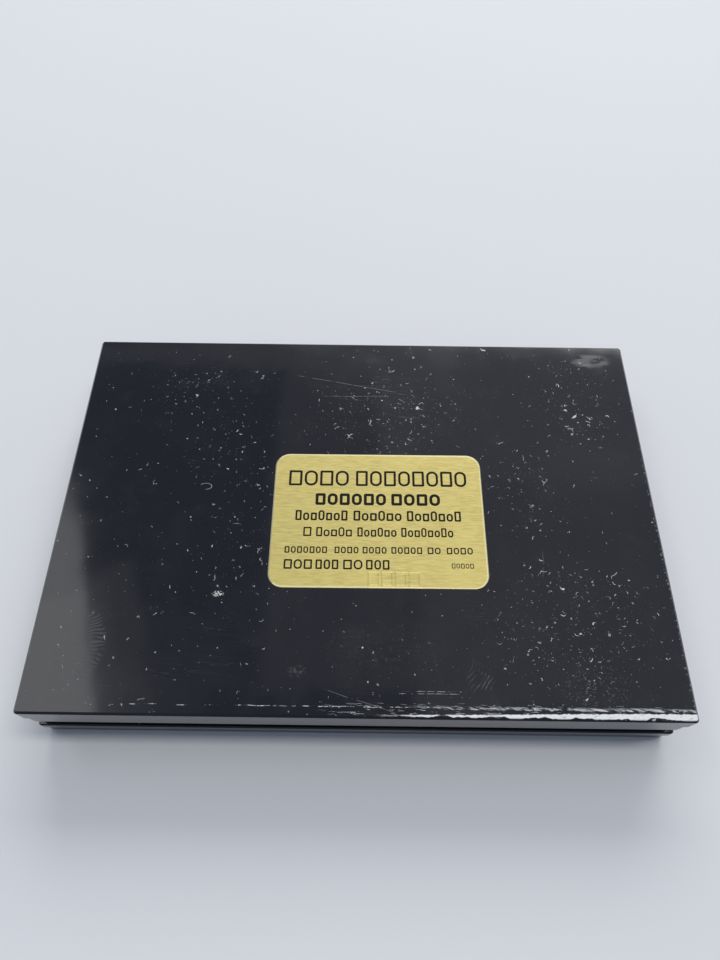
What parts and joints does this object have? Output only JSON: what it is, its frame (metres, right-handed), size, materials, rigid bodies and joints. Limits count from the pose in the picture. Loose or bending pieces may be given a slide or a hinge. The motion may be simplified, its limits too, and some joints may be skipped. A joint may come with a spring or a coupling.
{
  "type": "powder compact",
  "caption": "Flat rectangular powder compact with stepped sides, lying on its lid with the labelled base up; the base swings open on a rear hinge to show mirror, powder pan and brush.",
  "frame": {"origin": "middle of the lid's flat outer face, on which the closed compact lies", "axes": "+X along the width, +Y towards the hinge, +Z from the lid up to the labelled base plate"},
  "size_m": [0.0896, 0.0624, 0.0128],
  "materials": {
    "black_gloss": "high-gloss black moulded plastic with fine scratches and dust",
    "black_inner": "semi-gloss black moulded plastic",
    "pan_aluminium": "drawn aluminium, satin",
    "pressed_powder": "matt pressed powder with a fine shimmer",
    "glue": "dried hot-melt glue",
    "label_foil": "gold metallised foil label with fine brushed grain",
    "pin_steel": "drawn steel wire",
    "ferrule_metal": "polished aluminium",
    "brush_hair": "dark brown brush hair",
    "mirror_silver": "silvered glass",
    "foam_tape": "double-sided foam tape"
  },
  "bodies": {
    "lid": {"lid_shell": "black_gloss", "mirror_frame": "black_inner", "mirror_glass": "mirror_silver", "mirror_adhesive": "foam_tape"},
    "base": {"base_tray": "black_gloss", "tray_insert": "black_inner", "powder_pan": "pan_aluminium", "powder_cake": "pressed_powder", "pan_adhesive": "glue", "base_label": "label_foil", "hinge_pin_left": "pin_steel", "hinge_pin_right": "pin_steel", "brush_handle": "black_gloss", "brush_ferrule": "ferrule_metal", "brush_bristles": "brush_hair"}
  },
  "joints": [
    {"name": "case_hinge", "type": "hinge", "parent": "lid", "child": "base", "pos_m": [0, 0.0292, 0.0065], "axis": [-1, 0, 0], "range_deg": [0, 115]}
  ]
}
